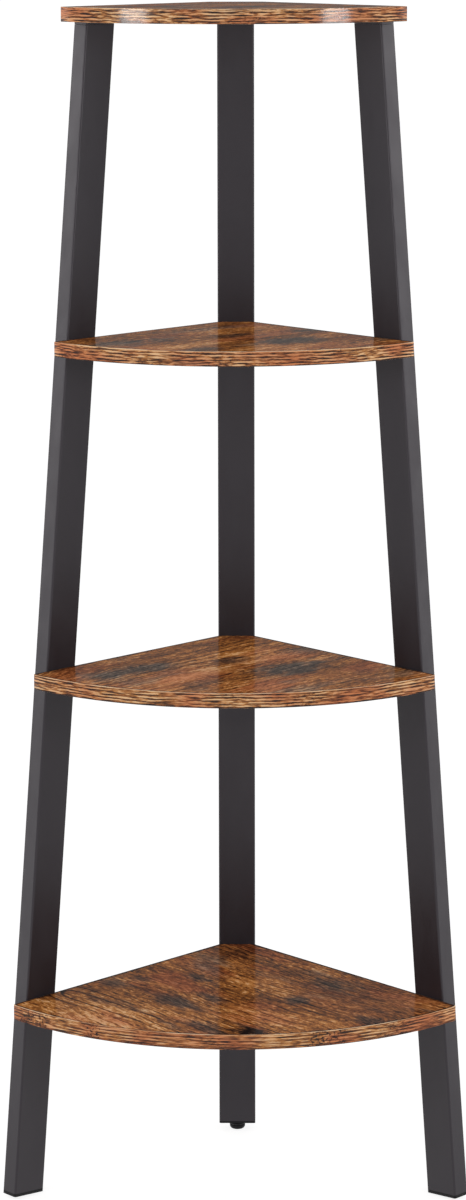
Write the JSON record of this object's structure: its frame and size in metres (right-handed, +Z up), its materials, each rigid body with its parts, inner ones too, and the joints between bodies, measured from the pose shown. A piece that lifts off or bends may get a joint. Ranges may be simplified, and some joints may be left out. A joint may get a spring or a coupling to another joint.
{
  "type": "corner shelf unit",
  "caption": "Tall quarter-round corner shelf unit: stepped wood-look boards bolted to steel tube legs that lean in towards the top, with a screw-out levelling foot at the back.",
  "frame": {"origin": "middle of the unit's floor area, on the floor", "axes": "+Z up, +Y towards the corner of the room, +X to the right as seen from the room"},
  "size_m": [0.4908, 0.3328, 1.2555],
  "materials": {
    "rustic_board": "satin rustic brown wood-print laminate on particle board",
    "edge_band": "satin brown wood-print edging",
    "powder_coat": "satin black powder coat",
    "black_plastic": "semi-matt black moulded plastic",
    "black_steel": "black zinc plating",
    "zinc_steel": "bright zinc plating"
  },
  "bodies": {
    "shelf_unit": {"bottom_shelf": "rustic_board", "bottom_shelf_front_edge_band": "edge_band", "bottom_shelf_left_edge_band": "edge_band", "bottom_shelf_right_edge_band": "edge_band", "middle_shelf": "rustic_board", "middle_shelf_front_edge_band": "edge_band", "middle_shelf_left_edge_band": "edge_band", "middle_shelf_right_edge_band": "edge_band", "upper_shelf": "rustic_board", "upper_shelf_front_edge_band": "edge_band", "upper_shelf_left_edge_band": "edge_band", "upper_shelf_right_edge_band": "edge_band", "top_shelf": "rustic_board", "top_shelf_front_edge_band": "edge_band", "top_shelf_left_edge_band": "edge_band", "top_shelf_right_edge_band": "edge_band", "top_shelf_back_edge_band": "edge_band", "left_lower_leg": "powder_coat", "left_upper_leg": "powder_coat", "left_leg_sleeve": "black_steel", "left_leg_top_plate": "powder_coat", "left_leg_end_cap": "black_plastic", "right_lower_leg": "powder_coat", "right_upper_leg": "powder_coat", "right_leg_sleeve": "black_steel", "right_leg_top_plate": "powder_coat", "right_leg_end_cap": "black_plastic", "back_lower_leg": "powder_coat", "back_upper_leg": "powder_coat", "back_leg_sleeve": "black_steel", "back_leg_top_plate": "powder_coat", "back_leg_threaded_plug": "black_plastic", "bottom_shelf_left_bolt": "black_steel", "bottom_shelf_left_insert": "zinc_steel", "bottom_shelf_right_bolt": "black_steel", "bottom_shelf_right_insert": "zinc_steel", "bottom_shelf_back_bolt": "black_steel", "bottom_shelf_back_insert": "zinc_steel", "middle_shelf_left_bolt": "black_steel", "middle_shelf_left_insert": "zinc_steel", "middle_shelf_right_bolt": "black_steel", "middle_shelf_right_insert": "zinc_steel", "middle_shelf_back_bolt": "black_steel", "middle_shelf_back_insert": "zinc_steel", "upper_shelf_left_bolt": "black_steel", "upper_shelf_left_insert": "zinc_steel", "upper_shelf_right_bolt": "black_steel", "upper_shelf_right_insert": "zinc_steel", "upper_shelf_back_bolt": "black_steel", "upper_shelf_back_insert": "zinc_steel", "top_shelf_left_bolt": "black_steel", "top_shelf_left_insert": "zinc_steel", "top_shelf_right_bolt": "black_steel", "top_shelf_right_insert": "zinc_steel", "top_shelf_back_bolt": "black_steel", "top_shelf_back_insert": "zinc_steel"},
    "foot_stem": {"levelling_foot_stem": "zinc_steel"},
    "foot_pad": {"levelling_foot_pad": "black_plastic"}
  },
  "joints": [
    {"name": "foot_height", "type": "slide", "parent": "shelf_unit", "child": "foot_stem", "axis": [0, 0, -1], "range_m": [0, 0.012]},
    {"name": "foot_turn", "type": "hinge", "parent": "foot_stem", "child": "foot_pad", "pos_m": [0, 0.15306, 0], "axis": [0, 0, -1], "range_deg": [0, 3456.1]}
  ],
  "couplings": [
    {"joint": "foot_turn", "follows": "foot_height", "rad_per_m": 5026.5}
  ]
}
